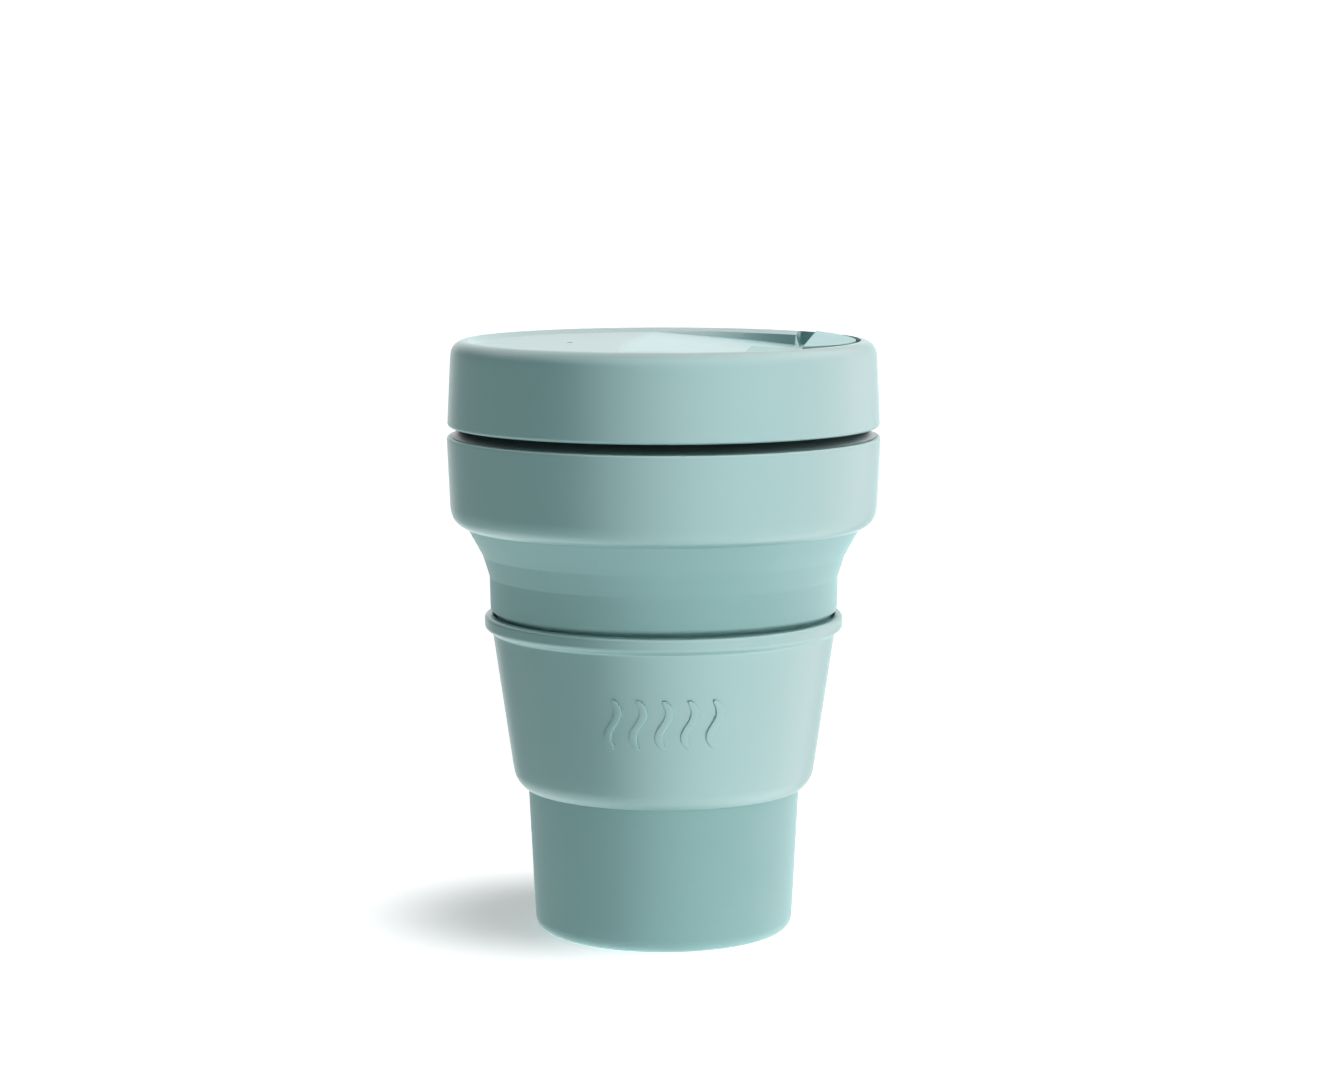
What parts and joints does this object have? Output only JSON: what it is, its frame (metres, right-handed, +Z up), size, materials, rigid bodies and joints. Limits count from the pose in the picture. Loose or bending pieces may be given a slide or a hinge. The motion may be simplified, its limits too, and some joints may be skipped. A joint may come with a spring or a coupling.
{
  "type": "collapsible travel cup",
  "caption": "Collapsible silicone travel cup with a rigid collar, screw lid with flip stopper, and a slide-on heat sleeve.",
  "frame": {"origin": "centre of the foot, on the table plane", "axes": "+Z up the cup's axis, +X towards the drinking side of the lid"},
  "size_m": [0.092, 0.092, 0.1268],
  "materials": {
    "silicone": "satin food-grade silicone, sage green, very fine dry bloom",
    "plastic": "satin moulded polypropylene, sage green, fine spark-eroded texture"
  },
  "bodies": {
    "base": {"base_section": "silicone", "lower_fold": "silicone"},
    "middle": {"middle_section": "silicone", "upper_fold": "silicone"},
    "sleeve": {"heat_sleeve": "plastic"},
    "collar": {"collar_ring": "plastic", "rim_section": "silicone"},
    "lid_seal": {"seal_ring": "silicone"},
    "lid": {"lid_shell": "plastic", "stopper_anchor": "silicone", "stopper_hinge": "silicone"},
    "flap": {"stopper_flap": "silicone"}
  },
  "joints": [
    {"name": "lower_collapse", "type": "slide", "parent": "base", "child": "middle", "axis": [0, 0, -1], "range_m": [0, 0.03], "deforming": ["lower_fold"]},
    {"name": "upper_collapse", "type": "slide", "parent": "middle", "child": "collar", "axis": [0, 0, -1], "range_m": [0, 0.039], "deforming": ["upper_fold"]},
    {"name": "sleeve_slide", "type": "slide", "parent": "middle", "child": "sleeve", "axis": [0, 0, -1], "range_m": [0, 0.03]},
    {"name": "lid_rise", "type": "slide", "parent": "collar", "child": "lid_seal", "axis": [0, 0, 1], "range_m": [0, 0.012]},
    {"name": "lid_turn", "type": "hinge", "parent": "lid_seal", "child": "lid", "pos_m": [0, 0, 0.118], "axis": [0, 0, 1], "range_deg": [0, 540]},
    {"name": "stopper_flip", "type": "hinge", "parent": "lid", "child": "flap", "pos_m": [0.02916, -0.00281, 0.1242], "axis": [-0.0958, -0.9954, 0], "range_deg": [0, 130], "deforming": ["stopper_hinge"]}
  ],
  "couplings": [
    {"joint": "lid_rise", "follows": "lid_turn", "m_per_rad": 0.0012732}
  ]
}
